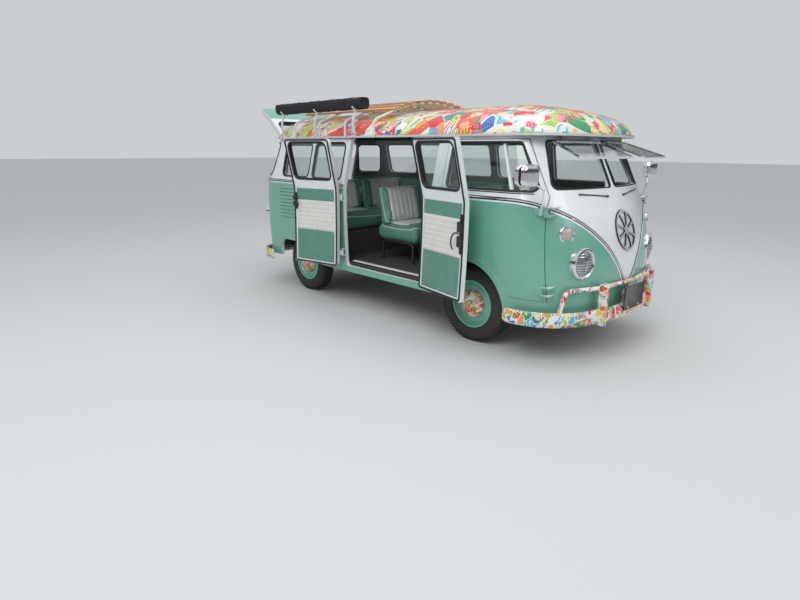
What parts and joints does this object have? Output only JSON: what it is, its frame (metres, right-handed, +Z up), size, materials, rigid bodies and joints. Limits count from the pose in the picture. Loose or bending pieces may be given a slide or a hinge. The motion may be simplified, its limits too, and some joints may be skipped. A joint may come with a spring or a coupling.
{
  "type": "split-windscreen microbus",
  "caption": "Small rear-engined passenger bus with a split windscreen, opening side doors, a raised tailgate, a slatted roof rack and a rolled awning.",
  "frame": {"origin": "on the ground under the middle of the whole bus, open doors included", "axes": "+X forward, +Y to the bus's left, +Z up"},
  "size_m": [4.6986, 2.2656, 2.052],
  "materials": {
    "mint_paint": "gloss, mint green",
    "sticker_skin": null,
    "clear_glass": "clear",
    "bright_chrome": "polished",
    "tyre_rubber": "matt",
    "seat_vinyl": "satin vinyl with white piping and pleated centres",
    "slat_wood": "varnished",
    "awning_cloth": "coated black cloth",
    "black_steel": "satin black",
    "floor_mat": "ribbed dark mat",
    "cab_trim": "satin, pale"
  },
  "bodies": {
    "body": {"awning_bag": "awning_cloth", "bench_front": "seat_vinyl", "bench_middle": "seat_vinyl", "bench_rear": "seat_vinyl", "bumper_front": "sticker_skin", "bumper_rear": "sticker_skin", "chassis_frame": "black_steel", "dashboard": "cab_trim", "door_cab_right": "mint_paint", "engine": "black_steel", "floor": "floor_mat", "front_axle": "black_steel", "glass_body": "clear_glass", "lamps": "bright_chrome", "mirror_right": "bright_chrome", "nose_panel": "mint_paint", "nose_trim": "bright_chrome", "rear_axle": "black_steel", "roof": "sticker_skin", "roof_rack": "slat_wood", "side_left": "mint_paint", "side_right": "mint_paint", "tail_panel": "mint_paint", "windscreen_frames": "bright_chrome"},
    "door_cab_left": {"door_cab_left": "mint_paint", "glass_cab_left": "clear_glass", "mirror_left": "bright_chrome"},
    "door_side_front": {"door_side_front": "mint_paint", "glass_side_front": "clear_glass"},
    "door_side_rear": {"door_side_rear": "mint_paint", "glass_side_rear": "clear_glass"},
    "tailgate": {"tailgate": "mint_paint", "glass_tailgate": "clear_glass"},
    "engine_lid": {"engine_lid": "mint_paint"},
    "knuckle_left": {"knuckle_left": "black_steel"},
    "knuckle_right": {"knuckle_right": "black_steel"},
    "steering_wheel": {"steering_wheel": "cab_trim"},
    "wheel_front_left": {"tyre_front_left": "tyre_rubber", "rim_front_left": "mint_paint"},
    "wheel_front_right": {"tyre_front_right": "tyre_rubber", "rim_front_right": "mint_paint"},
    "wheel_rear_left": {"tyre_rear_left": "tyre_rubber", "rim_rear_left": "mint_paint"},
    "wheel_rear_right": {"tyre_rear_right": "tyre_rubber", "rim_rear_right": "mint_paint"}
  },
  "joints": [
    {"name": "steer_left", "type": "hinge", "parent": "body", "child": "knuckle_left", "pos_m": [1.32134, 0.5906, 0.325], "axis": [0, 0, 1], "range_deg": [-28, 28]},
    {"name": "spin_front_left", "type": "hinge", "parent": "knuckle_left", "child": "wheel_front_left", "pos_m": [1.32134, 0.7206, 0.325], "axis": [0, 1, 0], "continuous": true},
    {"name": "spin_rear_left", "type": "hinge", "parent": "body", "child": "wheel_rear_left", "pos_m": [-1.07866, 0.7206, 0.325], "axis": [0, 1, 0], "continuous": true},
    {"name": "steer_right", "type": "hinge", "parent": "body", "child": "knuckle_right", "pos_m": [1.32134, -0.4994, 0.325], "axis": [0, 0, 1], "range_deg": [-28, 28]},
    {"name": "spin_front_right", "type": "hinge", "parent": "knuckle_right", "child": "wheel_front_right", "pos_m": [1.32134, -0.6294, 0.325], "axis": [0, 1, 0], "continuous": true},
    {"name": "spin_rear_right", "type": "hinge", "parent": "body", "child": "wheel_rear_right", "pos_m": [-1.07866, -0.6294, 0.325], "axis": [0, 1, 0], "continuous": true},
    {"name": "steering_wheel_turn", "type": "hinge", "parent": "body", "child": "steering_wheel", "pos_m": [1.59134, 0.4156, 1.105], "axis": [-0.4474, 0, 0.8943], "range_deg": [-450, 450]},
    {"name": "cab_door_left_open", "type": "hinge", "parent": "body", "child": "door_cab_left", "pos_m": [2.01134, 0.8516, 0.9], "axis": [0, 0, -1], "range_deg": [0, 70]},
    {"name": "side_door_front_open", "type": "hinge", "parent": "body", "child": "door_side_front", "pos_m": [0.92634, -0.8394, 0.85], "axis": [0, 0, 1], "range_deg": [-168, 0]},
    {"name": "side_door_rear_open", "type": "hinge", "parent": "body", "child": "door_side_rear", "pos_m": [-0.24366, -0.8394, 0.85], "axis": [0, 0, -1], "range_deg": [-168, 0]},
    {"name": "tailgate_lift", "type": "hinge", "parent": "body", "child": "tailgate", "pos_m": [-1.74066, 0.0456, 1.661], "axis": [0, 1, 0], "range_deg": [-114, 0]},
    {"name": "engine_lid_lift", "type": "hinge", "parent": "body", "child": "engine_lid", "pos_m": [-1.88266, 0.0456, 0.916], "axis": [0, 1, 0], "range_deg": [0, 80]}
  ],
  "couplings": [
    {"joint": "steer_right", "follows": "steer_left", "ratio": 1},
    {"joint": "steering_wheel_turn", "follows": "steer_left", "ratio": 16}
  ]
}
